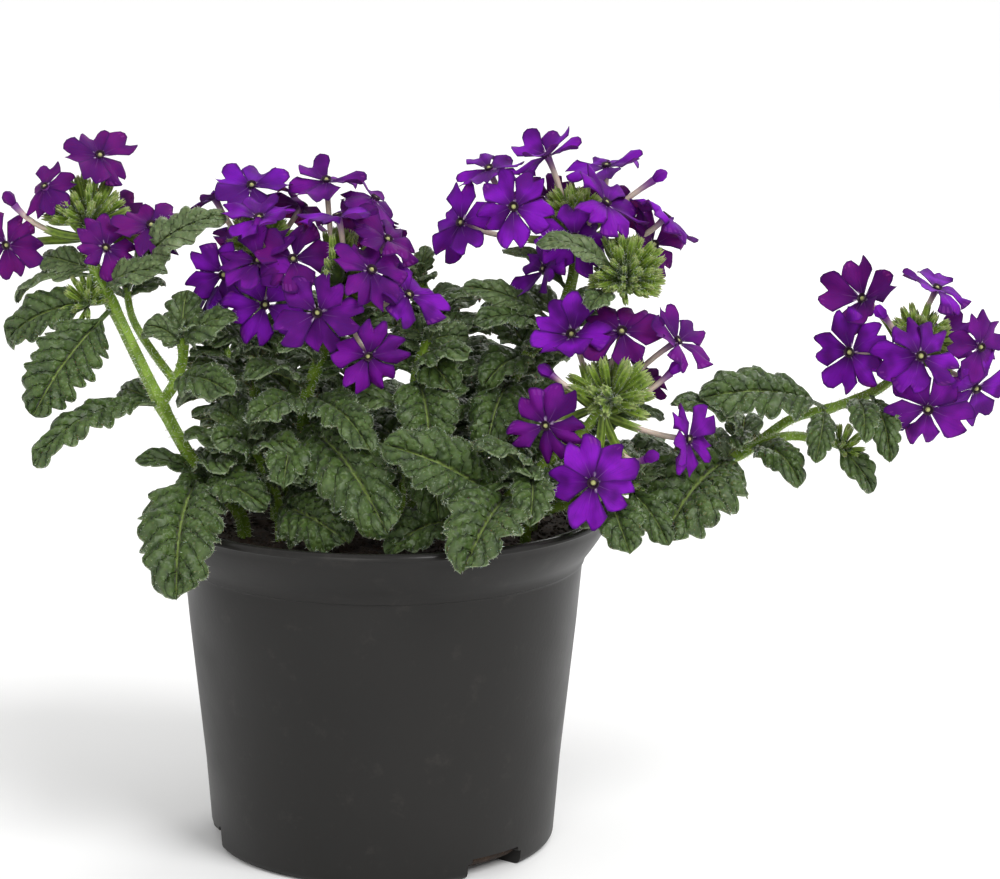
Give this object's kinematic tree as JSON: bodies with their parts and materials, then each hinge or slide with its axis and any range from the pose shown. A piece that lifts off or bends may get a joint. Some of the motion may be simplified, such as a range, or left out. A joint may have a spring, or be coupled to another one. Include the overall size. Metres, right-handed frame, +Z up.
{
  "type": "potted verbena",
  "caption": "Bushy flowering verbena in a round tapered nursery pot: toothed leaves on square stems, rounded heads of notched five-petalled florets.",
  "frame": {"origin": "centre of the pot's flat foot, on the surface that it stands on", "axes": "+Z up along the pot's axis, +X to the right, the front of the plant towards -Y"},
  "size_m": [0.2871, 0.1403, 0.2012],
  "materials": {
    "pot": "satin moulded plastic",
    "soil": "rough peat and bark compost",
    "leaf": "soft, finely hairy green leaf and stem",
    "petal": "velvety violet petal"
  },
  "bodies": {
    "root": {"pot": "pot", "soil": "soil", "shoot_left": "leaf", "shoot_centre_left": "leaf", "shoot_centre_right": "leaf", "shoot_right": "leaf", "shoot_front_right": "leaf", "shoot_far_right": "leaf", "shoot_middle": "leaf", "shoot_front": "leaf", "shoot_front_left": "leaf", "shoot_rim_right": "leaf", "shoot_back_left": "leaf", "shoot_back": "leaf", "shoot_back_right": "leaf", "florets_a": "petal", "florets_b_left": "petal", "florets_b_right": "petal", "florets_c": "petal", "florets_e": "petal", "florets_f": "petal"}
  },
  "joints": []
}
